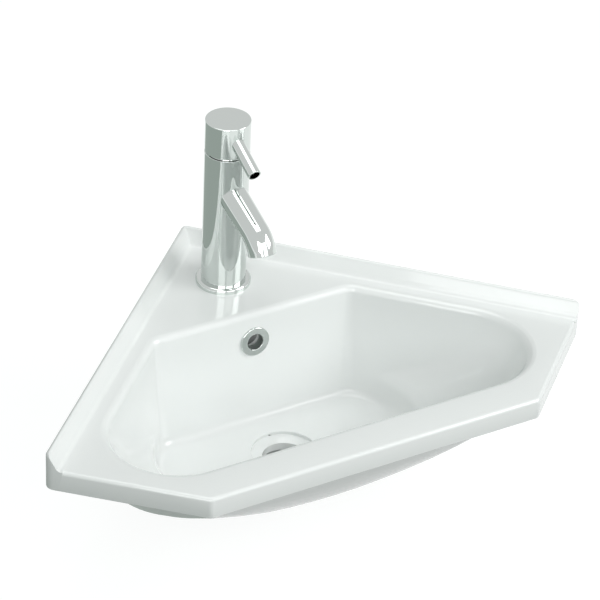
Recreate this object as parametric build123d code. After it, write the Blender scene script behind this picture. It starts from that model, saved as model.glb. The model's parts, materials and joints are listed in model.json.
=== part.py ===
from build123d import *
from math import atan2, cos, hypot, pi, radians, sin, sqrt, tan
import os

# A corner basin with a single-lever mixer, in millimetres.
# Origin: on the waste axis, at the underside of the waste boss. +Z is up.
# The wall corner lies towards +Y and the front edge towards -Y.

# Plan of the deck
OVERALL_WIDTH = 600.0
OVERALL_DEPTH = 409.5
FRONT_EDGE = 361.0
WASTE_FROM_CORNER = 232.0
WALL_END_RADIUS = 9.0
FRONT_CORNER_RADIUS = 7.0
WALL_CORNER_RADIUS = 6.0

# Section of the rim
RIM_HEIGHT = 23.0
RIM_EDGE_RADIUS = 4.0
RIM_FOOT_RADIUS = 2.0
DECK_THICKNESS = 12.0
LIP_WIDTH = 12.0

# Upstand along the two walls
UPSTAND_HEIGHT = 16.0
UPSTAND_WIDTH = 14.0
UPSTAND_SHOULDER = 6.0
UPSTAND_SHOULDER_RADIUS = 2.5
UPSTAND_EDGE_RADIUS = 4.5
UPSTAND_COVE = 5.0

# Bowl: a trapezium with two rear corners and two large round ends.
# Lower down its front bows forward and its ends grow rounder.
BOWL_DEPTH = 124.0
BOWL_REAR_FROM_CORNER = 158.0
BOWL_FRONT_MARGIN = 43.0
BOWL_WALL_MARGIN = 33.0
BOWL_END_RADIUS = 66.0
BOWL_END_RADIUS_BELOW = 110.0
BOWL_END_POWER = 4
BOWL_BOW_SHARE = 0.261
BOWL_LIP_BOW = 0.5
BOWL_CORNER_RADIUS = 14.0
BOWL_CORNER_RADIUS_BELOW = 24.0
BOWL_LIP_RADIUS = 7.0
REAR_DRAFT = 5.5
REAR_FLOOR_RADIUS = 10.0
SIDE_DRAFT = 5.5
SIDE_FLOOR_RADIUS = 10.0
FRONT_DRAFT = 10.4
FRONT_FLOOR_RADIUS = 83.7
BOWL_WALL = 10.0
SKIN_END_RADIUS = 56.8
SKIN_END_RADIUS_BELOW = 123.8
SKIN_END_POWER = 2
FILLET_SHARE = 0.97
BOWL_STEPS = 11

# Waste hole with its recess and seat
WASTE_RADIUS = 23.0
WASTE_SEAT_RADIUS = 29.0
WASTE_SEAT_DEPTH = 3.0
WASTE_RECESS_RADIUS = 34.4
WASTE_RECESS_DEPTH = 3.5
WASTE_BOSS_RADIUS = 42.0
WASTE_BOSS_DROP = 19.0

# Overflow: hole, chrome ring and the duct that runs down to the waste hole
OVERFLOW_BELOW_DECK = 32.5
OVERFLOW_RING_RADIUS = 16.0
OVERFLOW_RING_BORE = 8.8
OVERFLOW_RING_FLANGE = 2.0
OVERFLOW_RING_EDGE = 1.2
OVERFLOW_RING_MOUTH = 0.6
OVERFLOW_SLEEVE_WALL = 1.8
OVERFLOW_SLEEVE_LENGTH = 8.0
DUCT_WIDTH = 28.0
DUCT_DEPTH = 12.0
DUCT_SLOT_HEIGHT = 8.0
DUCT_WALL = 6.0

# Tap hole and where the tap stands
TAP_FROM_CORNER = 90.7
TAP_HOLE_RADIUS = 17.5
TAP_PAD_RADIUS = 30.0
TAP_PAD_DROP = 6.0

# Tap: body, flange and head
TAP_RADIUS = 23.0
BODY_EDGE_RADIUS = 0.5
HEAD_HEIGHT = 34.0
HEAD_EDGE_RADIUS = 0.8
SEAM_GAP = 2.0
FLANGE_RADIUS = 28.5
FLANGE_HEIGHT = 5.5
FLANGE_EDGE_RADIUS = 3.3
FLANGE_BORE = 15.8
FLANGE_LIP_DROP = 3.0
FLANGE_LIP_FIT = 0.2
BODY_SPIGOT = 2.0
GASKET_THICKNESS = 1.6
GASKET_RADIUS = 26.0
GASKET_BORE = 19.0

# Spout
SPOUT_HEIGHT = 114.6
SPOUT_SLOPE = 18.0
SPOUT_END_SLOPE = 65.0
SPOUT_ROOT_RADIUS = 15.2
SPOUT_END_RADIUS = 14.2
SPOUT_STRAIGHT = 66.0
SPOUT_BEND_RADIUS = 24.0
SPOUT_TAIL = 5.0
SPOUT_BORE = 7.0
SPOUT_EDGE_RADIUS = 0.8
SPIGOT_RADIUS = 10.0
SPIGOT_LENGTH = 7.0
AERATOR_RADIUS = 11.0
AERATOR_WALL = 1.5
AERATOR_LIP = 0.8
AERATOR_LENGTH = 9.0
AERATOR_RECESS = 0.6
MESH_THICKNESS = 5.0
MESH_HOLE = 1.35
MESH_PITCH = 3.6
MESH_REACH = 7.6
WASHER_THICKNESS = 1.6

# Cartridge, 35 mm type, stacked up from its seat in the body
CARTRIDGE_RADIUS = 17.5
CARTRIDGE_ABOVE_SPOUT = 9.4
CARTRIDGE_FIT = 0.1
BASE_THICKNESS = 4.0
BASE_FLANGE = 2.5
SEAL_DEPTH = 1.5
SEAL_WALL = 1.8
HOUSING_WALL = 2.8
SHOULDER_THICKNESS = 4.0
HOUSING_NECK = 5.0
HOUSING_NECK_RADIUS = 14.5
FIXED_DISC_THICKNESS = 3.0
DISC_FIT = 0.2
MOVING_DISC_RADIUS = 11.6
MOVING_DISC_THICKNESS = 3.5
MIXING_RADIUS = 5.2
MIXING_DEPTH = 1.8
MIXING_LOBE_RADIUS = 3.5
MIXING_LOBE_BACK = 7.5
CARRIER_THICKNESS = 4.5
ROTOR_RADIUS = 11.5
ROTOR_FLANGE_RADIUS = 14.0
ROTOR_FLANGE_THICKNESS = 1.7
ROTOR_RISE = 6.0
RUNNING_FIT = 0.05
PIVOT_ABOVE_FLANGE = 5.0
STEM_WIDTH = 8.0
STEM_SLOT_FIT = 0.3
STEM_SHANK_DROP = 4.5
STEM_TOP_CHAMFER = 0.6
STEM_NECK_RADIUS = 2.0
STEM_BALL_RADIUS = 2.6
STEM_BALL_GAP = 0.5
STEM_ENGAGEMENT = 12.0
PIN_RADIUS = 1.5
PIN_LENGTH = 20.0
PORT_RADIUS = 2.8
INLET_SIDE = 7.2
INLET_FORWARD = 3.8
OUTLET_BACK = 7.0
NUT_RADIUS = 19.4
NUT_WALL = 2.2
NUT_HEIGHT = 10.0
NUT_HEX_ACROSS = 30.0
NUT_HEX_HEIGHT = 3.0

# Ball dome under the head, a ball shell about the lift axis, and the grub screw
DOME_RADIUS = 22.7
DOME_THICKNESS = 1.2
DOME_OPENING_RADIUS = 14.5
BALL_CLEARANCE = 0.6
GRUB_RADIUS = 2.5
GRUB_LENGTH = 8.0
GRUB_KEY_RADIUS = 1.25

# Lever
LEVER_RADIUS = 6.7
LEVER_SLOPE = 24.0
LEVER_ABOVE_SEAM = 15.2
LEVER_REACH = 57.2
LEVER_EDGE_RADIUS = 0.5
LEVER_HOLLOW_RADIUS = 5.4
LEVER_HOLLOW_DEPTH = 14.0
LEVER_SPIGOT_RADIUS = 3.0
LEVER_SPIGOT_LENGTH = 10.0

# Fixing under the deck
INLET_PORT_RADIUS = 4.5
INLET_PORT_DEPTH = 12.0
STUD_RADIUS = 4.0
STUD_BACK = 11.0
STUD_LENGTH = 78.0
STUD_GRIP = 12.0
STUD_CHAMFER = 0.8
CLAMP_RADIUS = 25.0
CLAMP_MOUTH = 26.0
CLAMP_MOUTH_CORNER = 5.0
CLAMP_WEB = 2.5
CLAMP_PAD_THICKNESS = 3.0
CLAMP_PLATE_THICKNESS = 2.5
FIXING_NUT_ACROSS = 13.0
FIXING_NUT_HEIGHT = 12.0
STUD_HOLE_FIT = 0.4

# Motion limits that the shapes leave room for
LIFT_MAX = 20.0
SLIT = 0.3

# Places worked out from the sizes above
CORNER_Y = WASTE_FROM_CORNER
FLOOR_Z = WASTE_BOSS_DROP + BOWL_WALL
DECK_Z = FLOOR_Z + BOWL_DEPTH
RIM_Z = DECK_Z - RIM_HEIGHT
TAP_Y = CORNER_Y - TAP_FROM_CORNER
REAR_Y = CORNER_Y - BOWL_REAR_FROM_CORNER
FRONT_Y = CORNER_Y - OVERALL_DEPTH + BOWL_FRONT_MARGIN

# Heights of the tap's pieces above the deck, from the cartridge's seat upwards
CARTRIDGE_SEAT = SPOUT_HEIGHT + CARTRIDGE_ABOVE_SPOUT
DISC_FACE = CARTRIDGE_SEAT + BASE_THICKNESS + FIXED_DISC_THICKNESS
CARRIER_LOW = DISC_FACE + MOVING_DISC_THICKNESS
ROTOR_LOW = CARRIER_LOW + CARRIER_THICKNESS + SLIT
ROTOR_SEAT = ROTOR_LOW + ROTOR_FLANGE_THICKNESS
HOUSING_SHOULDER = ROTOR_SEAT + SHOULDER_THICKNESS
BODY_TOP = HOUSING_SHOULDER + NUT_HEIGHT
PIVOT_HEIGHT = ROTOR_SEAT + PIVOT_ABOVE_FLANGE
BALL_HEIGHT = CARRIER_LOW + STEM_BALL_GAP + STEM_BALL_RADIUS
DOME_TOP = PIVOT_HEIGHT + sqrt(DOME_RADIUS**2 - DOME_OPENING_RADIUS**2)
HEAD_LOW = BODY_TOP + SEAM_GAP
HEAD_CEILING = PIVOT_HEIGHT + DOME_RADIUS + BALL_CLEARANCE
HEAD_TOP = HEAD_LOW + HEAD_HEIGHT
STEM_TOP = HEAD_CEILING + STEM_ENGAGEMENT
LEVER_HEIGHT = HEAD_LOW + LEVER_ABOVE_SEAM
DISC_BORE = CARTRIDGE_RADIUS - HOUSING_WALL
CLAMP_TOP = -DECK_THICKNESS - TAP_PAD_DROP

UP = (Align.CENTER, Align.CENTER, Align.MIN)
DOWN = (Align.CENTER, Align.CENTER, Align.MAX)
BACK_UP = (Align.CENTER, Align.MIN, Align.MIN)
PAST = 1.0


def rod(radius, low, high, x=0.0, y=0.0):
    """Upright cylinder between two heights."""
    return Pos(x, y, low) * Cylinder(radius, high - low, align=UP)


def tube(outer, inner, low, high):
    """Upright ring between two heights, with its bore cut through."""
    return rod(outer, low, high) - rod(inner, low - PAST, high + PAST)


def hexagon(across, low, height):
    """Upright six-sided prism, measured across its flats."""
    return Pos(0, 0, low) * extrude(RegularPolygon(across / 2, 6, major_radius=False), amount=height)


def outline(points, radii, height):
    """Face of straight edges with rounded corners, at one height."""
    line = FilletPolyline(*points, radius=radii, close=True)
    return Plane.XY.offset(height) * make_face(line)


def crossing(p, along_p, q, along_q):
    """Point where two lines in the plan meet."""
    area = along_p.X * along_q.Y - along_p.Y * along_q.X
    step = ((q.X - p.X) * along_q.Y - (q.Y - p.Y) * along_q.X) / area
    return Vector(p.X + along_p.X * step, p.Y + along_p.Y * step)


def mirrored(right):
    """Points of the right half of a plan, followed by the same points on the left."""
    return right + [(-x, y) for x, y in reversed(right)]


def deck_points(inset=0.0):
    """Corners of the five-sided deck, moved inwards by one distance."""
    half = OVERALL_WIDTH / 2
    front_y = CORNER_Y - OVERALL_DEPTH
    wall_end = Vector(half, CORNER_Y - half)
    front_end = Vector(FRONT_EDGE / 2, front_y)
    along_side = (front_end - wall_end).normalized()
    side = wall_end + Vector(along_side.Y, -along_side.X) * inset
    corner = Vector(0, CORNER_Y - inset * sqrt(2))
    wall_turn = crossing(corner, Vector(1, -1), side, along_side)
    front_turn = crossing(side, along_side, Vector(0, front_y + inset), Vector(1, 0))
    right = [(wall_turn.X, wall_turn.Y), (front_turn.X, front_turn.Y)]
    return [(corner.X, corner.Y)] + mirrored(right)


def deck_face(height, inset=0.0):
    """The deck's plan as a face, with its rounded corners."""
    radii = [WALL_CORNER_RADIUS, WALL_END_RADIUS, FRONT_CORNER_RADIUS, FRONT_CORNER_RADIUS, WALL_END_RADIUS]
    return outline(deck_points(inset), [max(r - inset, PAST) for r in radii], height)


def wall_inset(depth, draft, floor_radius, wall=0.0):
    """How far a bowl wall has moved in at one depth: a drafted flat, then an arc to the floor."""
    lean = radians(draft)
    arc_depth = BOWL_DEPTH - floor_radius
    flat_end = arc_depth + floor_radius * sin(lean)
    arc_in = flat_end * tan(lean) + floor_radius * cos(lean)
    reach = floor_radius + wall
    if depth <= arc_depth + reach * sin(lean):
        return depth * tan(lean) - wall / cos(lean)
    return arc_in - sqrt(max(reach**2 - (depth - arc_depth) ** 2, 0.0))


def bowl_face(depth, wall=0.0, flare=0.0):
    """Plan of the bowl at one depth below the deck, for its inside or for its outer skin."""
    share = min(depth / (BOWL_DEPTH + wall), 1.0)
    if wall:
        end_radius = SKIN_END_RADIUS + (SKIN_END_RADIUS_BELOW - SKIN_END_RADIUS) * share**SKIN_END_POWER
    else:
        end_radius = BOWL_END_RADIUS + (BOWL_END_RADIUS_BELOW - BOWL_END_RADIUS) * share**BOWL_END_POWER
    corner_radius = BOWL_CORNER_RADIUS + (BOWL_CORNER_RADIUS_BELOW - BOWL_CORNER_RADIUS) * share**2
    corner_radius += flare + wall * sqrt(1 - share**2)
    rear_y = REAR_Y - wall_inset(depth, REAR_DRAFT, REAR_FLOOR_RADIUS, wall) + flare
    front_y = FRONT_Y + wall_inset(depth, FRONT_DRAFT, FRONT_FLOOR_RADIUS, wall) - flare
    margin = BOWL_WALL_MARGIN + wall_inset(depth, SIDE_DRAFT, SIDE_FLOOR_RADIUS, wall) - flare
    side_reach = CORNER_Y - margin * sqrt(2)
    bow = BOWL_LIP_BOW + BOWL_BOW_SHARE * share**2 * (rear_y - front_y)
    end_y = front_y + bow
    end_x = side_reach - end_y

    turn = atan2(bow, end_x)
    end_half_angle = (pi / 4 + turn) / 2
    side_room = sqrt(2) * (rear_y - end_y) - corner_radius * tan(pi / 8)
    end_radius = min(end_radius + flare, FILLET_SHARE * side_room * tan(end_half_angle))
    front_room = hypot(end_x, bow) - end_radius / tan(end_half_angle)
    front_radius = FILLET_SHARE * front_room / tan(turn)

    right = [(side_reach - rear_y, rear_y), (end_x, end_y)]
    points = right + [(0, front_y)] + mirrored(right)[2:]
    radii = [corner_radius, end_radius, front_radius, end_radius, corner_radius]
    return outline(points, radii, DECK_Z - depth)


def bowl_depths(wall=0.0):
    """Depths of the bowl's sections, close together where the front wall curves to the floor."""
    reach = FRONT_FLOOR_RADIUS + wall
    arc_depth = BOWL_DEPTH - FRONT_FLOOR_RADIUS
    turns = [FRONT_DRAFT + (90 - FRONT_DRAFT) * step / BOWL_STEPS for step in range(BOWL_STEPS + 1)]
    return [arc_depth + reach * sin(radians(turn)) for turn in turns]


def bowl_inside():
    """The hollow of the bowl, with its rounded lip at the deck."""
    lip = []
    for turn in (0.0, 30.0, 60.0, 90.0):
        depth = BOWL_LIP_RADIUS * (1 - cos(radians(turn)))
        lip.append(bowl_face(depth, flare=BOWL_LIP_RADIUS * (1 - sin(radians(turn)))))
    walls = [bowl_face(depth) for depth in bowl_depths()]
    hollow = loft(lip + walls, ruled=True)
    return hollow + extrude(lip[0], amount=UPSTAND_HEIGHT)


def bowl_outside():
    """The outer skin of the bowl, from inside the deck down to the underside."""
    start = bowl_face(DECK_THICKNESS / 2, wall=BOWL_WALL)
    walls = [bowl_face(depth, wall=BOWL_WALL) for depth in bowl_depths(BOWL_WALL)]
    return loft([start] + walls, ruled=True)


def upstand(side):
    """Low upstand along one wall: rounded top, sloping shoulder and a cove down to the deck."""
    across = Plane(
        origin=(0, CORNER_Y, DECK_Z),
        x_dir=Vector(-side, -1, 0).normalized(),
        z_dir=Vector(-1, side, 0).normalized(),
    )
    foot = UPSTAND_WIDTH + UPSTAND_COVE
    points = [
        (-PAST, -DECK_THICKNESS / 2),
        (-PAST, UPSTAND_HEIGHT),
        (UPSTAND_EDGE_RADIUS, UPSTAND_HEIGHT),
        (UPSTAND_WIDTH - UPSTAND_SHOULDER / 2, UPSTAND_SHOULDER),
        (UPSTAND_WIDTH, 0),
        (foot, 0),
        (foot, -DECK_THICKNESS / 2),
    ]
    radii = [0, 0, UPSTAND_EDGE_RADIUS, UPSTAND_SHOULDER_RADIUS, UPSTAND_COVE, 0, 0]
    section = make_face(FilletPolyline(*points, radius=radii, close=True))
    return extrude(across * section, amount=OVERALL_WIDTH, both=True)


def rim():
    """Deck plate with its rounded edge, the lip around it and the two upstands."""
    slab = extrude(deck_face(RIM_Z), amount=RIM_HEIGHT)
    slab = fillet(slab.faces().sort_by(Axis.Z)[-1].edges(), RIM_EDGE_RADIUS)
    raised = extrude(deck_face(RIM_Z), amount=RIM_HEIGHT + UPSTAND_HEIGHT)
    raised = fillet(raised.faces().sort_by(Axis.Z)[-1].edges(), RIM_EDGE_RADIUS)
    for side in (-1, 1):
        slab += raised & upstand(side)
    slab = fillet(slab.faces().sort_by(Axis.Z)[0].edges(), RIM_FOOT_RADIUS)
    return slab - extrude(deck_face(RIM_Z, LIP_WIDTH), amount=RIM_HEIGHT - DECK_THICKNESS)


def duct_top():
    """Height at which the overflow duct ends, above the overflow hole."""
    return DECK_Z - OVERFLOW_BELOW_DECK + DUCT_WIDTH / 2


def duct_passage():
    """Passage from the overflow hole down behind the rear wall and forward to the waste hole."""
    front = REAR_Y + BOWL_WALL
    upright = Pos(0, front, DUCT_WALL) * Box(DUCT_WIDTH, DUCT_DEPTH, duct_top() - DUCT_WALL, align=BACK_UP)
    flat = Pos(0, 0, DUCT_WALL) * Box(DUCT_WIDTH, front + DUCT_DEPTH, DUCT_SLOT_HEIGHT, align=BACK_UP)
    return upright + flat


def duct_casing():
    """Ceramic around the passage, joined to the bowl's rear wall and its underside."""
    width = DUCT_WIDTH + 2 * DUCT_WALL
    back = REAR_Y + BOWL_WALL + DUCT_DEPTH + DUCT_WALL
    front = REAR_Y - REAR_FLOOR_RADIUS - BOWL_WALL
    upright = Pos(0, front, 0) * Box(width, back - front, duct_top() + DUCT_WALL, align=BACK_UP)
    upright = fillet(upright.edges().filter_by(Axis.Z).group_by(Axis.Y)[-1], DUCT_WALL)
    return upright + Box(width, back - DUCT_WALL, DUCT_SLOT_HEIGHT + 2 * DUCT_WALL, align=BACK_UP)


def basin_ceramic():
    """The ceramic in one piece: rim, bowl, waste boss, overflow duct and tap hole."""
    body = rim() + bowl_outside() + duct_casing() + rod(WASTE_BOSS_RADIUS, 0, FLOOR_Z - PAST)
    body += rod(TAP_PAD_RADIUS, DECK_Z + CLAMP_TOP, DECK_Z - PAST, 0, TAP_Y)
    body -= bowl_inside()
    recess_low = FLOOR_Z - WASTE_RECESS_DEPTH
    body -= rod(WASTE_RECESS_RADIUS, recess_low, FLOOR_Z + PAST)
    seat = Cone(WASTE_RADIUS, WASTE_SEAT_RADIUS, WASTE_SEAT_DEPTH, align=DOWN)
    body -= Pos(0, 0, recess_low) * seat
    body -= rod(WASTE_RADIUS, -PAST, FLOOR_Z)
    body -= duct_passage()
    body -= overflow_place() * Cylinder(OVERFLOW_RING_BORE + OVERFLOW_SLEEVE_WALL, 2 * BOWL_WALL + DUCT_DEPTH)
    return body - rod(TAP_HOLE_RADIUS, RIM_Z, DECK_Z + PAST, 0, TAP_Y)


def overflow_place():
    """Plane on the bowl's rear wall at the overflow hole, facing into the bowl."""
    lean = radians(REAR_DRAFT)
    wall_y = REAR_Y - OVERFLOW_BELOW_DECK * tan(lean)
    origin = (0, wall_y, DECK_Z - OVERFLOW_BELOW_DECK)
    return Plane(origin=origin, x_dir=(1, 0, 0), z_dir=(0, -cos(lean), sin(lean)))


def overflow_ring():
    """Chrome ring with a thin flange on the rear wall and a sleeve in the overflow hole."""
    flange = Cylinder(OVERFLOW_RING_RADIUS, OVERFLOW_RING_FLANGE, align=UP)
    flange = fillet(flange.edges().group_by(Axis.Z)[-1], OVERFLOW_RING_EDGE)
    sleeve_radius = OVERFLOW_RING_BORE + OVERFLOW_SLEEVE_WALL - CARTRIDGE_FIT
    ring = flange + Cylinder(sleeve_radius, OVERFLOW_SLEEVE_LENGTH, align=DOWN)
    ring -= Cylinder(OVERFLOW_RING_BORE, 4 * OVERFLOW_SLEEVE_LENGTH)
    mouth = ring.edges().filter_by(GeomType.CIRCLE).group_by(Axis.Z)[-1]
    return overflow_place() * fillet(mouth.sort_by(SortBy.RADIUS)[0], OVERFLOW_RING_MOUTH)


def on_tap(piece):
    """Place a piece drawn about the tap axis, with its heights above the deck."""
    return Pos(0, TAP_Y, DECK_Z) * piece


def base_flange():
    """Chrome flange with a domed edge, a recess for its gasket and a lip in the tap hole."""
    disc = rod(FLANGE_RADIUS, 0, FLANGE_HEIGHT)
    disc = fillet(disc.faces().sort_by(Axis.Z)[-1].edges(), FLANGE_EDGE_RADIUS)
    lip = rod(TAP_HOLE_RADIUS - FLANGE_LIP_FIT, -FLANGE_LIP_DROP, PAST)
    recess = tube(GASKET_RADIUS + CARTRIDGE_FIT, GASKET_BORE - CARTRIDGE_FIT, 0, GASKET_THICKNESS)
    return disc + lip - recess - rod(FLANGE_BORE, -FLANGE_LIP_DROP - PAST, FLANGE_HEIGHT + PAST)


def flange_gasket():
    """Rubber ring in the flange's recess, pressed on the deck."""
    return tube(GASKET_RADIUS, GASKET_BORE, 0, GASKET_THICKNESS)


def spout_line(along):
    """Plane across the spout's axis, some way along it from the tap axis, facing outwards."""
    slope = radians(SPOUT_SLOPE)
    origin = (0, -along * cos(slope), SPOUT_HEIGHT - along * sin(slope))
    return Plane(origin=origin, x_dir=(1, 0, 0), z_dir=(0, -cos(slope), -sin(slope)))


def spout_bend_axis():
    """Axis about which the spout's end bends down."""
    slope = radians(SPOUT_SLOPE)
    end = spout_line(SPOUT_STRAIGHT).origin
    centre = end + Vector(0, sin(slope), -cos(slope)) * SPOUT_BEND_RADIUS
    return Axis(centre, (1, 0, 0))


def spout_mouth():
    """Plane of the spout's mouth, facing outwards."""
    slope = radians(SPOUT_END_SLOPE)
    out = Vector(0, -cos(slope), -sin(slope))
    centre = spout_bend_axis().position + Vector(0, -sin(slope), cos(slope)) * SPOUT_BEND_RADIUS
    return Plane(origin=centre + out * SPOUT_TAIL, x_dir=(1, 0, 0), z_dir=out)


def spout_run(radius, end_radius):
    """Solid that follows the spout's axis: a tapered straight, the bend and the tail."""
    section = spout_line(SPOUT_STRAIGHT) * Circle(end_radius)
    straight = loft([spout_line(0) * Circle(radius), section])
    bend = revolve(section, axis=spout_bend_axis(), revolution_arc=SPOUT_END_SLOPE - SPOUT_SLOPE)
    tail = spout_mouth() * Cylinder(end_radius, SPOUT_TAIL, align=DOWN)
    return straight + bend + tail


def spout_root():
    """How far along its axis the spout's spigot ends inside the body."""
    return TAP_RADIUS / cos(radians(SPOUT_SLOPE)) - SPIGOT_LENGTH


def aerator_depth():
    """Depth of the aerator's chamber behind the spout's mouth."""
    return AERATOR_RECESS + AERATOR_LENGTH + WASHER_THICKNESS


def spout():
    """Bent chrome tube with a spigot in the body, its waterway and the aerator's chamber."""
    outer = spout_run(SPOUT_ROOT_RADIUS, SPOUT_END_RADIUS) - rod(TAP_RADIUS, 0, HEAD_TOP)
    outer = fillet(outer.faces().sort_by_distance(spout_mouth().origin)[0].edges(), SPOUT_EDGE_RADIUS)
    outer += spout_line(spout_root()) * Cylinder(SPIGOT_RADIUS, 2 * SPIGOT_LENGTH, align=UP)
    chamber = spout_mouth() * Cylinder(AERATOR_RADIUS, aerator_depth(), align=DOWN)
    return outer - spout_run(SPOUT_BORE, SPOUT_BORE) - chamber


def in_mouth(piece, depth):
    """Place a piece in the spout's mouth, its outer end at one depth."""
    return spout_mouth() * (Pos(0, 0, -depth) * piece)


def aerator_shell():
    """Chrome collar in the spout's mouth, with a lip under the mesh."""
    inner = AERATOR_RADIUS - AERATOR_WALL
    shell = Cylinder(AERATOR_RADIUS, AERATOR_LENGTH, align=DOWN)
    shell -= Cylinder(inner - AERATOR_LIP, 3 * AERATOR_LENGTH)
    shell -= Pos(0, 0, -AERATOR_WALL) * Cylinder(inner, AERATOR_LENGTH, align=DOWN)
    return in_mouth(shell, AERATOR_RECESS)


def aerator_mesh():
    """Insert with a grid of six-sided holes, on the collar's lip."""
    disc = Cylinder(AERATOR_RADIUS - AERATOR_WALL, MESH_THICKNESS, align=DOWN)
    grid = HexLocations(MESH_PITCH / 2, 5, 5) * RegularPolygon(MESH_HOLE, 6)
    holes = [hole for hole in grid if hole.center().length < MESH_REACH]
    disc -= extrude(Sketch() + holes, amount=2 * MESH_THICKNESS, both=True)
    return in_mouth(disc, AERATOR_RECESS + AERATOR_WALL)


def aerator_washer():
    """Rubber ring between the collar and the end of its chamber."""
    ring = Cylinder(AERATOR_RADIUS, WASHER_THICKNESS, align=DOWN) - Cylinder(SPOUT_BORE, 3 * WASHER_THICKNESS)
    return in_mouth(ring, AERATOR_RECESS + AERATOR_LENGTH)


def port_places():
    """Where the two inlet passages and the outlet passage stand about the tap axis."""
    return [(-INLET_SIDE, -INLET_FORWARD), (INLET_SIDE, -INLET_FORWARD), (0, OUTLET_BACK)]


def ports(radius, low, high):
    """The two inlet passages and the outlet passage, side by side."""
    return Part() + [rod(radius, low, high, x, y) for x, y in port_places()]


def tap_body():
    """Chromed cylinder with the cartridge bore, the waterways and the threads below."""
    low = FLANGE_HEIGHT - BODY_SPIGOT
    body = rod(TAP_RADIUS, FLANGE_HEIGHT, BODY_TOP)
    body = fillet(body.faces().sort_by(Axis.Z)[-1].edges(), BODY_EDGE_RADIUS)
    body += rod(FLANGE_BORE - CARTRIDGE_FIT, low, FLANGE_HEIGHT + PAST)
    body -= rod(CARTRIDGE_RADIUS + CARTRIDGE_FIT, CARTRIDGE_SEAT, BODY_TOP + PAST)
    body -= rod(NUT_RADIUS, HOUSING_SHOULDER, BODY_TOP + PAST)
    body -= ports(PORT_RADIUS, SPOUT_HEIGHT, CARTRIDGE_SEAT + PAST)
    for x, y in port_places()[:2]:
        body -= rod(PORT_RADIUS, 0, CARTRIDGE_SEAT, x, y)
        body -= rod(INLET_PORT_RADIUS, 0, low + INLET_PORT_DEPTH, x, y)
    body -= rod(STUD_RADIUS, 0, FLANGE_HEIGHT + STUD_GRIP, 0, STUD_BACK)
    body -= spout_line(spout_root()) * Cylinder(SPIGOT_RADIUS, 4 * SPIGOT_LENGTH, align=UP)
    waterway = Cylinder(PORT_RADIUS, OUTLET_BACK + spout_root() + PAST, align=UP)
    return body - spout_line(-OUTLET_BACK) * waterway


def seal_plan(radius):
    """Plan of the seal: a ring around each port, joined by a web."""
    rings = [Pos(*place) * Circle(radius) for place in port_places()]
    return make_face(Polyline(*port_places(), close=True)) + rings


def cartridge_base():
    """Bottom plate of the cartridge, with three ports and a pocket for the seal."""
    plate = rod(CARTRIDGE_RADIUS, 0, BASE_FLANGE) + rod(DISC_BORE, 0, BASE_THICKNESS)
    plate -= ports(PORT_RADIUS, -PAST, BASE_THICKNESS + PAST)
    plate -= extrude(seal_plan(PORT_RADIUS + SEAL_WALL), amount=SEAL_DEPTH)
    return Pos(0, 0, CARTRIDGE_SEAT) * plate


def cartridge_seals():
    """Rubber seal with a ring around each port, between the base and the body."""
    seal = extrude(seal_plan(PORT_RADIUS + SEAL_WALL), amount=SEAL_DEPTH)
    return Pos(0, 0, CARTRIDGE_SEAT) * (seal - ports(PORT_RADIUS, -PAST, SEAL_DEPTH + PAST))


def cartridge_housing():
    """Plastic shell around the discs, with a shoulder for the nut and a neck for the rotor."""
    top = HOUSING_SHOULDER + HOUSING_NECK
    shell = rod(CARTRIDGE_RADIUS, CARTRIDGE_SEAT + BASE_FLANGE, HOUSING_SHOULDER)
    shell += rod(HOUSING_NECK_RADIUS, HOUSING_SHOULDER - PAST, top)
    shell -= rod(DISC_BORE, CARTRIDGE_SEAT, ROTOR_SEAT + RUNNING_FIT)
    return shell - rod(ROTOR_RADIUS + RUNNING_FIT, CARTRIDGE_SEAT, top + PAST)


def fixed_disc():
    """Lower ceramic disc with the three ports."""
    low = DISC_FACE - FIXED_DISC_THICKNESS
    return rod(DISC_BORE - DISC_FIT, low, DISC_FACE) - ports(PORT_RADIUS, low - PAST, DISC_FACE + PAST)


def moving_disc():
    """Upper ceramic disc; the recess in its underside joins the inlets to the outlet."""
    recess_top = DISC_FACE + MIXING_DEPTH
    disc = rod(MOVING_DISC_RADIUS, DISC_FACE, CARRIER_LOW)
    disc -= rod(MIXING_RADIUS, DISC_FACE - PAST, recess_top)
    return disc - rod(MIXING_LOBE_RADIUS, DISC_FACE - PAST, recess_top, 0, MIXING_LOBE_BACK)


def disc_carrier():
    """Plastic carrier on the moving disc, with a pocket for the ball of the stem."""
    carrier = rod(MOVING_DISC_RADIUS, CARRIER_LOW, CARRIER_LOW + CARRIER_THICKNESS)
    pocket = 2 * (STEM_BALL_RADIUS + SLIT)
    return carrier - Pos(0, 0, CARRIER_LOW) * Box(pocket, pocket, 3 * CARRIER_THICKNESS)


def stem_sweep(height):
    """How far the stem's side swings from the tap axis at one height, with its clearance."""
    lift = radians(LIFT_MAX)
    return abs(height - PIVOT_HEIGHT) * tan(lift) + STEM_WIDTH / 2 / cos(lift) + STEM_SLOT_FIT


def cartridge_rotor():
    """Plastic rotor with a slot in which the stem rocks on its pin."""
    rotor = rod(ROTOR_RADIUS, ROTOR_LOW, PIVOT_HEIGHT + ROTOR_RISE)
    rotor += rod(ROTOR_FLANGE_RADIUS, ROTOR_LOW, ROTOR_SEAT)
    sweep = max(stem_sweep(ROTOR_LOW), stem_sweep(PIVOT_HEIGHT + ROTOR_RISE))
    slot = Box(STEM_WIDTH + 2 * STEM_SLOT_FIT, 2 * sweep, 4 * (PIVOT_HEIGHT - ROTOR_LOW + ROTOR_RISE))
    return rotor - Pos(0, 0, PIVOT_HEIGHT) * slot - pin(0.0)


def pin(slack):
    """Cylinder along the lift axis."""
    return Pos(0, 0, PIVOT_HEIGHT) * Rot(0, 90, 0) * Cylinder(PIN_RADIUS + slack, PIN_LENGTH)


def rotor_pin():
    """Steel pin on which the stem rocks."""
    return pin(0.0)


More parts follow.
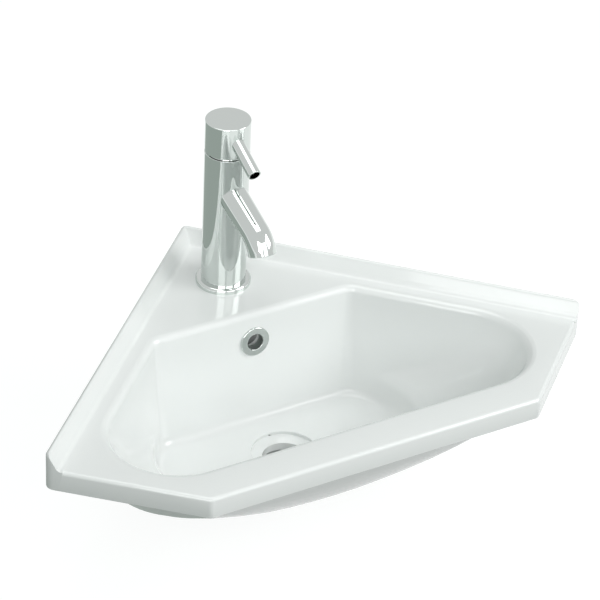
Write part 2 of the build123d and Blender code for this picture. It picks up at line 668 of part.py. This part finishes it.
def cartridge_stem():
    """Square steel stem, with a neck and a ball at its foot."""
    shank_low = PIVOT_HEIGHT - STEM_SHANK_DROP
    stem = Pos(0, 0, shank_low) * Box(STEM_WIDTH, STEM_WIDTH, STEM_TOP - shank_low, align=UP)
    stem = chamfer(stem.faces().sort_by(Axis.Z)[-1].edges(), STEM_TOP_CHAMFER)
    stem += rod(STEM_NECK_RADIUS, BALL_HEIGHT, shank_low + PAST)
    stem += Pos(0, 0, BALL_HEIGHT) * Sphere(STEM_BALL_RADIUS)
    return stem - pin(RUNNING_FIT)


def cartridge_nut():
    """Brass nut that clamps the housing's shoulder in the body."""
    nut = rod(NUT_RADIUS, HOUSING_SHOULDER, BODY_TOP) + hexagon(NUT_HEX_ACROSS, BODY_TOP, NUT_HEX_HEIGHT)
    neck_top = HOUSING_SHOULDER + HOUSING_NECK + SLIT
    nut -= rod(HOUSING_NECK_RADIUS + SLIT, HOUSING_SHOULDER - PAST, neck_top)
    return nut - rod(NUT_HEX_ACROSS / 2 - NUT_WALL, HOUSING_SHOULDER, BODY_TOP + NUT_HEX_HEIGHT + PAST)


def dome_cover():
    """Chrome ball dome that stands on the body and closes the seam under the head."""
    shell = Pos(0, 0, PIVOT_HEIGHT) * (Sphere(DOME_RADIUS) - Sphere(DOME_RADIUS - DOME_THICKNESS))
    return shell & rod(TAP_RADIUS, BODY_TOP, DOME_TOP)


def head_cap():
    """Cylinder head: open below over the dome, with a square socket for the stem."""
    bore = sqrt((DOME_RADIUS + BALL_CLEARANCE) ** 2 - (HEAD_LOW - PIVOT_HEIGHT) ** 2)
    cap = rod(TAP_RADIUS, HEAD_LOW, HEAD_TOP)
    cap = fillet(cap.faces().sort_by(Axis.Z)[-1].edges(), HEAD_EDGE_RADIUS)
    cap -= rod(bore, HEAD_LOW - PAST, HEAD_CEILING)
    cap -= Pos(0, 0, HEAD_CEILING - PAST) * Box(STEM_WIDTH, STEM_WIDTH, STEM_ENGAGEMENT + PAST, align=UP)
    lift = radians(LIFT_MAX)
    relief_height = PIVOT_HEIGHT + (BODY_TOP - PIVOT_HEIGHT + SLIT) / cos(lift)
    relief = Plane(origin=(0, 0, relief_height), x_dir=(1, 0, 0), z_dir=(0, -sin(lift), cos(lift)))
    cap -= relief * Box(4 * TAP_RADIUS, 4 * TAP_RADIUS, TAP_RADIUS, align=DOWN)
    cap -= grub_place() * Cylinder(GRUB_RADIUS, 2 * TAP_RADIUS, align=UP)
    spigot_bore = Cylinder(LEVER_SPIGOT_RADIUS, 2 * LEVER_SPIGOT_LENGTH, align=UP)
    return cap - lever_place(-LEVER_SPIGOT_LENGTH) * spigot_bore


def grub_place():
    """Where the grub screw meets the stem, looking out to the rear."""
    origin = (0, STEM_WIDTH / 2, HEAD_CEILING + STEM_ENGAGEMENT / 2)
    return Plane(origin=origin, x_dir=(1, 0, 0), z_dir=(0, 1, 0))


def grub_screw():
    """Screw with a six-sided socket that holds the head on the stem."""
    screw = Cylinder(GRUB_RADIUS, GRUB_LENGTH, align=UP)
    key = extrude(RegularPolygon(GRUB_KEY_RADIUS, 6), amount=GRUB_LENGTH)
    return grub_place() * (screw - Pos(0, 0, GRUB_LENGTH / 2) * key)


def lever_place(along):
    """Plane across the lever's axis, some way out from where it leaves the head."""
    slope = radians(LEVER_SLOPE)
    origin = (0, -TAP_RADIUS - along * cos(slope), LEVER_HEIGHT - along * sin(slope))
    return Plane(origin=origin, x_dir=(1, 0, 0), z_dir=(0, -cos(slope), -sin(slope)))


def lever_rod():
    """Chrome tube with an open end and a threaded spigot in the head."""
    reach = (LEVER_REACH - TAP_RADIUS) / cos(radians(LEVER_SLOPE))
    lever = lever_place(-TAP_RADIUS) * Cylinder(LEVER_RADIUS, TAP_RADIUS + reach, align=UP)
    lever -= rod(TAP_RADIUS, 0, 2 * HEAD_TOP)
    tip = lever.faces().sort_by_distance(lever_place(reach).origin)[0]
    lever = fillet(tip.edges(), LEVER_EDGE_RADIUS)
    lever -= lever_place(reach) * Cylinder(LEVER_HOLLOW_RADIUS, LEVER_HOLLOW_DEPTH, align=DOWN)
    spigot = Cylinder(LEVER_SPIGOT_RADIUS, LEVER_SPIGOT_LENGTH + LEVER_RADIUS, align=UP)
    return lever + lever_place(-LEVER_SPIGOT_LENGTH) * spigot


def fixing_stud():
    """Threaded stud from the body down through the clamp."""
    top = FLANGE_HEIGHT + STUD_GRIP
    stud = rod(STUD_RADIUS, top - STUD_LENGTH, top, 0, STUD_BACK)
    return chamfer(stud.edges().filter_by(GeomType.CIRCLE), STUD_CHAMFER)


def horseshoe(top, thickness):
    """Clamp disc with an open mouth for the hoses and a hole for the stud."""
    hole = STUD_RADIUS + STUD_HOLE_FIT
    mouth_end = STUD_BACK - hole - CLAMP_WEB
    mouth = Pos(0, mouth_end - CLAMP_RADIUS) * Rectangle(CLAMP_MOUTH, 2 * CLAMP_RADIUS)
    mouth = fillet(mouth.vertices().group_by(Axis.Y)[-1], CLAMP_MOUTH_CORNER)
    plan = Circle(CLAMP_RADIUS) - mouth - Pos(0, STUD_BACK) * Circle(hole)
    return Pos(0, 0, top) * extrude(plan, amount=-thickness)


def fixing_pad():
    """Rubber horseshoe under the deck."""
    return horseshoe(CLAMP_TOP, CLAMP_PAD_THICKNESS)


def fixing_plate():
    """Steel horseshoe under the rubber one."""
    return horseshoe(CLAMP_TOP - CLAMP_PAD_THICKNESS, CLAMP_PLATE_THICKNESS)


def fixing_nut():
    """Long nut on the stud."""
    low = CLAMP_TOP - CLAMP_PAD_THICKNESS - CLAMP_PLATE_THICKNESS - FIXING_NUT_HEIGHT
    nut = hexagon(FIXING_NUT_ACROSS, low, FIXING_NUT_HEIGHT)
    return Pos(0, STUD_BACK) * (nut - rod(STUD_RADIUS, low - PAST, low + FIXING_NUT_HEIGHT + PAST))


IN_BASIN = [basin_ceramic, overflow_ring]
ON_TAP = [
    base_flange, flange_gasket, tap_body, spout, aerator_shell, aerator_mesh, aerator_washer,
    cartridge_base, cartridge_seals, cartridge_housing, fixed_disc, moving_disc, disc_carrier,
    cartridge_rotor, rotor_pin, cartridge_stem, cartridge_nut, dome_cover, head_cap, lever_rod,
    grub_screw, fixing_stud, fixing_pad, fixing_plate, fixing_nut,
]

pieces = {make.__name__: make() for make in IN_BASIN}
pieces.update({make.__name__: on_tap(make()) for make in ON_TAP})
os.makedirs("parts", exist_ok=True)
for name, piece in pieces.items():
    export_step(piece, f"parts/{name}.step")
    print(name, len(piece.solids()), round(piece.volume / 1000, 2), piece.is_valid)
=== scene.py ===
import json
import math

import bmesh
import bpy
from mathutils import Matrix, Vector


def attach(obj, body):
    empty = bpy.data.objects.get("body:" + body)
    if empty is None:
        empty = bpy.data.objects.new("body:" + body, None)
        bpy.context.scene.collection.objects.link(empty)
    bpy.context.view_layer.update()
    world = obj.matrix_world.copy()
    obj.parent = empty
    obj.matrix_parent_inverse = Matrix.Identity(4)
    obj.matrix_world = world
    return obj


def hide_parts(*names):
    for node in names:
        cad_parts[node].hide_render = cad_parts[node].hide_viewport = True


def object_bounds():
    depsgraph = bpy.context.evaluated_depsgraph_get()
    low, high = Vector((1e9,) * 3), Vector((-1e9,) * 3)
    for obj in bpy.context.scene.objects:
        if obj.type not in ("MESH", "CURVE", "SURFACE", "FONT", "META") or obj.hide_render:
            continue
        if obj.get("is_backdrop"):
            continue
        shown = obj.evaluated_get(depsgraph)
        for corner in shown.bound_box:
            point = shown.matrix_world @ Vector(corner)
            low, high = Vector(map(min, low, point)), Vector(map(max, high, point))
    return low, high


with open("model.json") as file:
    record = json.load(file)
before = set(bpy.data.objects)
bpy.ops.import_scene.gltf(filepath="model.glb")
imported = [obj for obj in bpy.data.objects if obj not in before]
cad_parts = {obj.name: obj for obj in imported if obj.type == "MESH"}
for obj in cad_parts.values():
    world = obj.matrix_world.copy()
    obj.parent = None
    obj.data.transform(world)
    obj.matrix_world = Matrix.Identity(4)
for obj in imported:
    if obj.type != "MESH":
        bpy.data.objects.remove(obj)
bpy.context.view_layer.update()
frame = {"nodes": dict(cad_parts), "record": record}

# Camera: solved from the corners of the deck and the tap in the photograph
CAMERA_AZIMUTH = math.radians(-30.7618)
CAMERA_ELEVATION = math.radians(33.9551)
CAMERA_ROLL = math.radians(2.9150)
CAMERA_DISTANCE = 2.8806
CAMERA_RIGHT = 0.01979
CAMERA_RISE = 0.04067
CAMERA_TARGET = Vector((0.0, 0.01985, 0.153))
CAMERA_LENS = 173.77
SENSOR = 36.0

# Even light from all round
WORLD_LEVEL = 0.2
WORLD_TINT = (0.86, 1.0, 0.94, 1)

# Studio lights: name, place, target, side of the soft box and power
LIGHTS = (
    ("key", (1.6, -1.2, 1.4), (0, 0, 0.15), 1.2, 24),
    ("front", (0.2, -2.0, 1.3), (0, 0, 0.1), 1.2, 8),
    ("fill", (-1.2, -1.6, 1.2), (0, 0, 0.1), 1.2, 16),
    ("top", (0, 0.3, 2.6), (0, 0, 0.1), 1.5, 15),
)

# Floor: how far it reaches and lies below the basin, its colour as other surfaces see it,
# and the glow that the camera and the reflections see on top of that
FLOOR_HALF = 6.0
FLOOR_DROP = 0.02
FLOOR_PALE = (0.16, 0.18, 0.17, 1)
FLOOR_GLOW = 0.9
FLOOR_ROUGHNESS = 0.9

# Painted reflection: glowing grey card on the floor, behind and to the left of the basin, seen only in
# reflections, where it paints darker bands on the chrome
FLAG_PLAN = ((-1.5, -0.35), (-0.13, -0.35), (-0.02, 1.2), (-1.5, 1.2))
FLAG_DROP = 0.019
PAINTED_REFLECTION_GREY = (0.42, 0.47, 0.44, 1)

# Deck's outline, in metres: the corner in the walls, the wall ends and the front edge
WALL_CORNER = Vector((0.0, 0.232))
DECK_HALF = 0.300
DECK_REACH = 0.4095
FRONT_HALF = 0.1805
DECK_RADII = (0.006, 0.009, 0.007, 0.007, 0.009)
DECK_ARC_STEPS = (8, 8, 8, 8, 8)
DECK_EDGE_STEPS = 4
DECK_HEIGHT = 0.153

# Bowl: its edges at the deck, then how its walls lean and curve to the floor
BOWL_DEPTH = 0.124
BOWL_REAR = 0.158
BOWL_FRONT_MARGIN = 0.043
BOWL_WALL_MARGIN = 0.033
STEEP_DRAFT = math.radians(5.5)
STEEP_FOOT = 0.010
FRONT_DRAFT = math.radians(10.4)
FRONT_FOOT = 0.0837
LIP_RADIUS = 0.007
LIP_BOW = 0.0005
BOW_SHARE = 0.261
END_RADIUS = 0.066
END_GROWTH = 0.058
CORNER_RADIUS = 0.014
CORNER_GROWTH = 0.010
FILLET_SHARE = 0.97
BOWL_ARC_STEPS = (10, 24, 24, 24, 10)
BOWL_EDGE_STEPS = 8

# Hollow that is cut: sections between the lip and the curved foot, and the fall to the waste
SKIM = 0.0003
LIP_TURNS = range(0, 91, 9)
LIP_LIFT = 0.00001
WALL_DEPTHS = (0.018, 0.03, 0.042, 0.055)
FOOT_TURNS = range(14, 91, 4)
FLOOR_SHARES = (0.85, 0.7, 0.5, 0.3)
FLOOR_FALL = 0.0004

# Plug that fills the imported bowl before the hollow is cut
PLUG_GROWTH = 0.002
PLUG_END_GROWTH = 0.044
PLUG_FOOT = 0.0835
PLUG_DEPTHS = (0.012, 0.03, 0.055)
PLUG_TURNS = range(20, 90, 10)

# Rim trim, how far tools reach past the basin, and how close welded points lie
TRIM = 0.0001
REACH_ABOVE = 0.03
REACH_BELOW = 0.01
WELD = 0.000002
SHARP_ANGLE = math.radians(28)
TURN_STEPS = 64

# Waste hole with its seat and recess, and the overflow hole
WASTE_BORE = 0.023
WASTE_CUT_FOOT = 0.020
SEAT_RADIUS = 0.029
SEAT_HEIGHT = 0.0225
RECESS_RADIUS = 0.0344
RECESS_HEIGHT = 0.0255
RECESS_EDGE = 0.0012
RECESS_TURNS = range(0, 76, 15)
RECESS_CUT_RISE = 0.0005
OVERFLOW_BORE = 0.0106
OVERFLOW_DEPTH = 0.0325
OVERFLOW_CUT = (-0.014, 0.004)


def add_camera():
    """Camera at the photograph's viewing angle."""
    az, el, roll = CAMERA_AZIMUTH, CAMERA_ELEVATION, CAMERA_ROLL
    across = Vector((math.cos(az), math.sin(az), 0))
    back = Vector((math.sin(az) * math.cos(el), -math.cos(az) * math.cos(el), math.sin(el)))
    above = back.cross(across)
    right = across * math.cos(roll) + above * math.sin(roll)
    up = above * math.cos(roll) - across * math.sin(roll)
    place = CAMERA_TARGET + back * CAMERA_DISTANCE + right * CAMERA_RIGHT + up * CAMERA_RISE
    camera = bpy.data.objects.new("camera", bpy.data.cameras.new("camera"))
    camera.data.sensor_width = SENSOR
    camera.data.lens = CAMERA_LENS
    camera.matrix_world = Matrix.Translation(place) @ Matrix((right, up, back)).transposed().to_4x4()
    bpy.context.collection.objects.link(camera)
    bpy.context.scene.camera = camera


def new_material(name):
    """Empty node material with its shader, ready for more nodes."""
    material = bpy.data.materials.new(name)
    material.use_nodes = True
    nodes = material.node_tree.nodes
    return material, nodes, material.node_tree.links, nodes["Principled BSDF"]


def noise(nodes, links, scale, detail=2.0, stretch=(1, 1, 1)):
    """Noise texture in the object's own space."""
    place = nodes.new("ShaderNodeTexCoord")
    mapping = nodes.new("ShaderNodeMapping")
    mapping.inputs["Scale"].default_value = stretch
    texture = nodes.new("ShaderNodeTexNoise")
    texture.inputs["Scale"].default_value = scale
    texture.inputs["Detail"].default_value = detail
    links.new(place.outputs["Object"], mapping.inputs["Vector"])
    links.new(mapping.outputs["Vector"], texture.inputs["Vector"])
    return texture.outputs["Fac"]


def between(nodes, links, source, low, high):
    """Map a texture's value to a range."""
    ramp = nodes.new("ShaderNodeMapRange")
    ramp.inputs["To Min"].default_value = low
    ramp.inputs["To Max"].default_value = high
    links.new(source, ramp.inputs["Value"])
    return ramp.outputs["Result"]


def mix_colours(nodes, links, factor, first, second):
    """Blend two colours by a texture's value."""
    blend = nodes.new("ShaderNodeMix")
    blend.data_type = "RGBA"
    blend.inputs["A"].default_value = (*first, 1)
    blend.inputs["B"].default_value = (*second, 1)
    links.new(factor, blend.inputs["Factor"])
    return blend.outputs["Result"]


def bump(nodes, links, shader, source, strength, distance):
    """Fine relief from a texture."""
    node = nodes.new("ShaderNodeBump")
    node.inputs["Strength"].default_value = strength
    node.inputs["Distance"].default_value = distance
    links.new(source, node.inputs["Height"])
    links.new(node.outputs["Normal"], shader.inputs["Normal"])


def either(nodes, links, first, second):
    """True where one of two kinds of ray is."""
    node = nodes.new("ShaderNodeMath")
    node.operation = "MAXIMUM"
    links.new(first, node.inputs[0])
    links.new(second, node.inputs[1])
    return node.outputs[0]


def mix_shaders(nodes, links, factor, first, second):
    """Blend two shaders."""
    mix = nodes.new("ShaderNodeMixShader")
    links.new(factor, mix.inputs["Fac"])
    links.new(first, mix.inputs[1])
    links.new(second, mix.inputs[2])
    return mix.outputs[0]


def glaze():
    """White sanitary glaze: a glossy clear layer over an even white body."""
    material, nodes, links, shader = new_material("glaze")
    cloud = noise(nodes, links, 9.0, 3.0)
    colour = mix_colours(nodes, links, cloud, (0.865, 0.885, 0.877), (0.88, 0.897, 0.89))
    links.new(colour, shader.inputs["Base Color"])
    shader.inputs["Roughness"].default_value = 0.22
    shader.inputs["Coat Weight"].default_value = 0.6
    shader.inputs["Coat Roughness"].default_value = 0.04
    wave = noise(nodes, links, 45.0, 1.0)
    bump(nodes, links, shader, wave, 0.25, 0.00025)
    return material


def chrome():
    """Polished chrome plate with faint wipe marks."""
    material, nodes, links, shader = new_material("chrome")
    shader.inputs["Base Color"].default_value = (0.66, 0.70, 0.68, 1)
    shader.inputs["Metallic"].default_value = 1.0
    smear = noise(nodes, links, 60.0, 3.0, (1, 1, 0.2))
    links.new(between(nodes, links, smear, 0.02, 0.06), shader.inputs["Roughness"])
    return material


def metal(name, colour, rough):
    """Plain machined metal with turning marks."""
    material, nodes, links, shader = new_material(name)
    grain = noise(nodes, links, 400.0, 2.0, (1, 1, 6))
    shade = tuple(c * 0.85 for c in colour)
    links.new(mix_colours(nodes, links, grain, shade, colour), shader.inputs["Base Color"])
    shader.inputs["Metallic"].default_value = 1.0
    links.new(between(nodes, links, grain, rough * 0.8, rough * 1.3), shader.inputs["Roughness"])
    bump(nodes, links, shader, grain, 0.15, 0.00005)
    return material


def moulded(name, colour, rough):
    """Moulded plastic or rubber with a fine grain."""
    material, nodes, links, shader = new_material(name)
    grain = noise(nodes, links, 900.0, 2.0)
    shade = tuple(c * 0.9 for c in colour)
    links.new(mix_colours(nodes, links, grain, shade, colour), shader.inputs["Base Color"])
    shader.inputs["Roughness"].default_value = rough
    bump(nodes, links, shader, grain, 0.2, 0.00005)
    return material


MATERIALS = {
    "glaze": glaze(),
    "chrome": chrome(),
    "brass": metal("brass", (0.72, 0.52, 0.25), 0.3),
    "steel": metal("steel", (0.6, 0.61, 0.62), 0.32),
    "rubber": moulded("rubber", (0.03, 0.03, 0.03), 0.6),
    "white_plastic": moulded("white_plastic", (0.78, 0.78, 0.75), 0.4),
    "blue_plastic": moulded("blue_plastic", (0.12, 0.25, 0.5), 0.4),
    "disc_ceramic": moulded("disc_ceramic", (0.8, 0.78, 0.7), 0.25),
}


def dress_nodes():
    """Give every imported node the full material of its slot."""
    for part in frame["record"]["subparts"]:
        node = frame["nodes"][part["node"]]
        material = MATERIALS[part["material_slot"]]
        for slot in node.material_slots:
            slot.material = material


def mirrored(right):
    """Points of the right half of a plan, then the same points on the left."""
    return right, [Vector((-point.x, point.y)) for point in reversed(right)]


def rounded(points, radii, arc_steps, edge_steps):
    """Closed plan of straight edges with rounded corners, with a fixed number of points."""
    ends = []
    for index, (point, radius) in enumerate(zip(points, radii)):
        before = (points[index - 1] - point).normalized()
        after = (points[(index + 1) % len(points)] - point).normalized()
        half = before.angle(after) / 2
        middle = point + (before + after).normalized() * radius / math.sin(half)
        start, stop = (point + side * radius / math.tan(half) - middle for side in (before, after))
        turn = start.angle_signed(stop)
        arc = []
        for step in range(arc_steps[index] + 1):
            angle = -turn * step / arc_steps[index]
            across = Vector((-start.y, start.x))
            arc.append(middle + start * math.cos(angle) + across * math.sin(angle))
        ends.append(arc)
    plan = []
    for index, arc in enumerate(ends):
        plan += arc
        first = ends[(index + 1) % len(ends)][0]
        plan += [arc[-1].lerp(first, step / edge_steps) for step in range(1, edge_steps)]
    return plan


def wall_inset(depth, draft, foot):
    """How far a bowl wall has moved in at one depth: a drafted flat, then an arc to the floor."""
    arc_depth = BOWL_DEPTH - foot
    if depth <= arc_depth + foot * math.sin(draft):
        return depth * math.tan(draft)
    arc_in = (arc_depth + foot * math.sin(draft)) * math.tan(draft) + foot * math.cos(draft)
    return arc_in - math.sqrt(max(foot**2 - (depth - arc_depth) ** 2, 0.0))


def bowl_plan(depth, flare, plug=False):
    """Plan at one depth below the deck, of the hollow that is cut or of the plug that fills it."""
    share = min(depth / BOWL_DEPTH, 1.0)
    steep_inset = wall_inset(depth, STEEP_DRAFT, STEEP_FOOT)
    front_inset = wall_inset(depth, FRONT_DRAFT, FRONT_FOOT)
    rear = WALL_CORNER.y - BOWL_REAR - steep_inset + flare
    front = WALL_CORNER.y - DECK_REACH + BOWL_FRONT_MARGIN + front_inset - flare
    margin = BOWL_WALL_MARGIN + steep_inset - flare
    reach = WALL_CORNER.y - margin * math.sqrt(2)
    end = front + LIP_BOW + BOW_SHARE * share**2 * (rear - front)
    half_end = reach - end
    turn = math.atan2(end - front, half_end)
    half_angle = (math.pi / 4 + turn) / 2

    corner_radius = CORNER_RADIUS + CORNER_GROWTH * share**2 + flare
    growth = PLUG_END_GROWTH * share**4 if plug else END_GROWTH * (1 - math.sqrt(1 - share**2))
    side_room = math.sqrt(2) * (rear - end) - corner_radius * math.tan(math.pi / 8)
    end_radius = min(END_RADIUS + growth + flare, FILLET_SHARE * side_room * math.tan(half_angle))
    front_room = math.hypot(half_end, end - front) - end_radius / math.tan(half_angle)
    front_radius = FILLET_SHARE * front_room / math.tan(turn)

    right, left = mirrored([Vector((reach - rear, rear)), Vector((half_end, end))])
    radii = [corner_radius, end_radius, front_radius, end_radius, corner_radius]
    return rounded(right + [Vector((0, front))] + left, radii, BOWL_ARC_STEPS, BOWL_EDGE_STEPS)


def solid_of_rings(name, rings):
    """Closed body through plans at given heights."""
    body = bmesh.new()
    loops = [[body.verts.new((*point, height)) for point in plan] for plan, height in rings]
    for lower, upper in zip(loops, loops[1:]):
        for index in range(len(lower)):
            body.faces.new((lower[index - 1], lower[index], upper[index], upper[index - 1]))
    body.faces.new(loops[0])
    body.faces.new(list(reversed(loops[-1])))
    bmesh.ops.recalc_face_normals(body, faces=body.faces)
    mesh = bpy.data.meshes.new(name)
    body.to_mesh(mesh)
    body.free()
    return bpy.data.objects.new(name, mesh)


def turned(name, profile, place, axis):
    """Closed body turned from (radius, height) pairs about an axis through a place."""
    circle = [step * 2 * math.pi / TURN_STEPS for step in range(TURN_STEPS)]
    rings = []
    for radius, height in profile:
        plan = [Vector((radius * math.cos(angle), radius * math.sin(angle))) for angle in circle]
        rings.append((plan, height))
    body = solid_of_rings(name, rings)
    body.data.transform(Matrix.Translation(place) @ axis.to_track_quat("Z", "Y").to_matrix().to_4x4())
    return body


def combine(piece, tools):
    """Apply solid unions, cuts and trims to a piece, in order."""
    for tool, operation in tools:
        bpy.context.collection.objects.link(tool)
        step = piece.modifiers.new(tool.name, "BOOLEAN")
        step.operation = operation
        step.solver = "MANIFOLD"
        step.object = tool
        depsgraph = bpy.context.evaluated_depsgraph_get()
        mesh = bpy.data.meshes.new_from_object(piece.evaluated_get(depsgraph))
        piece.modifiers.clear()
        piece.data = mesh
        bpy.data.objects.remove(tool)


def rim_trim():
    """Upright body a hair inside the deck's outline, for everything that belongs to the basin."""
    wall_end = Vector((DECK_HALF, WALL_CORNER.y - DECK_HALF))
    front_end = Vector((FRONT_HALF, WALL_CORNER.y - DECK_REACH))
    right, left = mirrored([wall_end, front_end])
    plan = rounded([WALL_CORNER] + right + left, DECK_RADII, DECK_ARC_STEPS, DECK_EDGE_STEPS)
    plan = [point * (1 - TRIM / DECK_HALF) for point in plan]
    return solid_of_rings("rim_trim", [(plan, -REACH_BELOW), (plan, DECK_HEIGHT + REACH_ABOVE)])


def bowl_plug():
    """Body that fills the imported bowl, a little wider and deeper than its hollow."""
    arc_depth = BOWL_DEPTH - FRONT_FOOT
    depths = list(PLUG_DEPTHS)
    depths += [PLUG_FOOT * math.sin(math.radians(turn)) + arc_depth for turn in PLUG_TURNS]
    rings = [(bowl_plan(depth, PLUG_GROWTH, True), DECK_HEIGHT - depth) for depth in depths]
    rings.append((bowl_plan(BOWL_DEPTH, PLUG_GROWTH, True), DECK_HEIGHT - BOWL_DEPTH - PLUG_GROWTH))
    return solid_of_rings("bowl_plug", rings)


def bowl_hollow():
    """Hollow of the bowl: its rounded lip, its walls and foot, and a floor that falls to the waste."""
    rings = [(bowl_plan(0, LIP_RADIUS + SKIM), DECK_HEIGHT + REACH_ABOVE)]
    for turn in LIP_TURNS:
        depth = LIP_RADIUS * (1 - math.cos(math.radians(turn)))
        flare = LIP_RADIUS * (1 - math.sin(math.radians(turn)))
        rings.append((bowl_plan(depth, flare + SKIM), DECK_HEIGHT - depth + LIP_LIFT))
    depths = list(WALL_DEPTHS)
    depths += [BOWL_DEPTH - FRONT_FOOT * (1 - math.sin(math.radians(turn))) for turn in FOOT_TURNS]
    rings += [(bowl_plan(depth, SKIM), DECK_HEIGHT - depth) for depth in depths]
    floor_plan = rings[-1][0]
    for share in FLOOR_SHARES:
        height = DECK_HEIGHT - BOWL_DEPTH - FLOOR_FALL * (1 - share)
        rings.append(([point * share for point in floor_plan], height))
    return solid_of_rings("bowl_hollow", rings)


def waste_cut():
    """Waste hole with its seat and its shallow recess in the bowl's floor."""
    floor_height = DECK_HEIGHT - BOWL_DEPTH
    profile = [(WASTE_BORE, WASTE_CUT_FOOT), (WASTE_BORE, SEAT_HEIGHT)]
    profile += [(SEAT_RADIUS, RECESS_HEIGHT), (RECESS_RADIUS, RECESS_HEIGHT)]
    for turn in RECESS_TURNS:
        out = RECESS_EDGE * (1 - math.cos(math.radians(turn)))
        rise = RECESS_EDGE * (math.sin(math.radians(turn)) - 1)
        profile.append((RECESS_RADIUS + out, floor_height + rise))
    profile.append((RECESS_RADIUS + 2 * RECESS_EDGE, floor_height + RECESS_CUT_RISE))
    return turned("waste_cut", profile, Vector((0, 0, 0)), Vector((0, 0, 1)))


def overflow_cut():
    """Round hole through the rear wall of the bowl for the overflow ring."""
    rear = WALL_CORNER.y - BOWL_REAR - OVERFLOW_DEPTH * math.tan(STEEP_DRAFT)
    place = Vector((0, rear, DECK_HEIGHT - OVERFLOW_DEPTH))
    axis = Vector((0, -math.cos(STEEP_DRAFT), math.sin(STEEP_DRAFT)))
    return turned("overflow_cut", [(OVERFLOW_BORE, height) for height in OVERFLOW_CUT], place, axis)


def welded_copy(name, node):
    """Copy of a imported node's mesh with its points joined, as the solid tools need it."""
    body = bmesh.new()
    body.from_mesh(frame["nodes"][node].data)
    bmesh.ops.remove_doubles(body, verts=body.verts, dist=WELD)
    mesh = bpy.data.meshes.new(name)
    body.to_mesh(mesh)
    body.free()
    if "custom_normal" in mesh.attributes:
        mesh.attributes.remove(mesh.attributes["custom_normal"])
    piece = bpy.data.objects.new(name, mesh)
    bpy.context.collection.objects.link(piece)
    return piece


def basin():
    """Glazed basin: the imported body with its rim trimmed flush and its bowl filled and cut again."""
    piece = welded_copy("basin_glazed", "basin_ceramic")
    steps = [(rim_trim(), "INTERSECT"), (bowl_plug(), "UNION")]
    steps += [(tool, "DIFFERENCE") for tool in (bowl_hollow(), waste_cut(), overflow_cut())]
    combine(piece, steps)
    piece.data.materials.clear()
    piece.data.materials.append(MATERIALS["glaze"])
    piece.data.polygons.foreach_set("use_smooth", [True] * len(piece.data.polygons))
    piece.data.set_sharp_from_angle(angle=SHARP_ANGLE)
    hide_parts("basin_ceramic")
    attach(piece, "basin")


def add_world():
    """White background for the camera, reflections and clear surfaces, and a soft even light."""
    world = bpy.data.worlds.new("studio")
    bpy.context.scene.world = world
    world.use_nodes = True
    nodes, links = world.node_tree.nodes, world.node_tree.links
    nodes.clear()
    output = nodes.new("ShaderNodeOutputWorld")
    rays = nodes.new("ShaderNodeLightPath").outputs
    light = nodes.new("ShaderNodeBackground")
    light.inputs["Color"].default_value = WORLD_TINT
    light.inputs["Strength"].default_value = WORLD_LEVEL
    white = nodes.new("ShaderNodeBackground")
    white.inputs["Strength"].default_value = 1.0
    seen = either(nodes, links, rays["Is Camera Ray"], rays["Is Glossy Ray"])
    seen = either(nodes, links, seen, rays["Is Transmission Ray"])
    both = mix_shaders(nodes, links, seen, light.outputs[0], white.outputs[0])
    links.new(both, output.inputs["Surface"])


def area_light(name, place, target, side, power):
    """Square soft box aimed at a point."""
    data = bpy.data.lights.new(name, "AREA")
    data.shape = "RECTANGLE"
    data.size = data.size_y = side
    data.energy = power
    light = bpy.data.objects.new(name, data)
    aim = (Vector(target) - Vector(place)).to_track_quat("-Z", "Y")
    light.matrix_world = Matrix.Translation(Vector(place)) @ aim.to_matrix().to_4x4()
    bpy.context.collection.objects.link(light)


def stage_sheet(name, plan, drop, material):
    """Flat four-sided sheet of the studio, a little below the basin."""
    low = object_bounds()[0][2] - drop
    mesh = bpy.data.meshes.new(name)
    mesh.from_pydata([(x, y, low) for x, y in plan], [], [(0, 1, 2, 3)])
    sheet = bpy.data.objects.new(name, mesh)
    bpy.context.collection.objects.link(sheet)
    mesh.materials.append(material)
    sheet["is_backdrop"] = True
    return sheet


def add_floor():
    """Plain floor below the basin: near white to the camera and in the metal, with a faint shadow."""
    material, nodes, links, shader = new_material("floor")
    shader.inputs["Base Color"].default_value = FLOOR_PALE
    shader.inputs["Roughness"].default_value = FLOOR_ROUGHNESS
    glow = nodes.new("ShaderNodeEmission")
    glow.inputs["Strength"].default_value = FLOOR_GLOW
    both = nodes.new("ShaderNodeAddShader")
    links.new(shader.outputs[0], both.inputs[0])
    links.new(glow.outputs[0], both.inputs[1])
    rays = nodes.new("ShaderNodeLightPath").outputs
    seen = either(nodes, links, rays["Is Camera Ray"], rays["Is Glossy Ray"])
    surface = mix_shaders(nodes, links, seen, shader.outputs[0], both.outputs[0])
    links.new(surface, nodes["Material Output"].inputs["Surface"])
    plan = [(x * FLOOR_HALF, y * FLOOR_HALF) for x, y in ((-1, -1), (1, -1), (1, 1), (-1, 1))]
    stage_sheet("floor", plan, FLOOR_DROP, material)


def add_painted_reflection_card():
    """Glowing grey card of the studio that only reflections see: a painted reflection that darkens
    bands on the chrome.
    """
    material, nodes, links, _ = new_material("painted_reflection_card")
    # Painted reflection: grey glow, seen only by glossy rays, that paints darker bands on the chrome
    grey = nodes.new("ShaderNodeEmission")
    grey.inputs["Color"].default_value = PAINTED_REFLECTION_GREY
    links.new(grey.outputs[0], nodes["Material Output"].inputs["Surface"])
    card = stage_sheet("painted_reflection_card", FLAG_PLAN, FLAG_DROP, material)
    card.visible_camera = False
    card.visible_diffuse = False
    card.visible_shadow = False
    card.visible_transmission = False


add_camera()
dress_nodes()
basin()
add_world()
add_floor()
for light in LIGHTS:
    area_light(*light)
add_painted_reflection_card()
bpy.context.scene.view_settings.view_transform = "Standard"
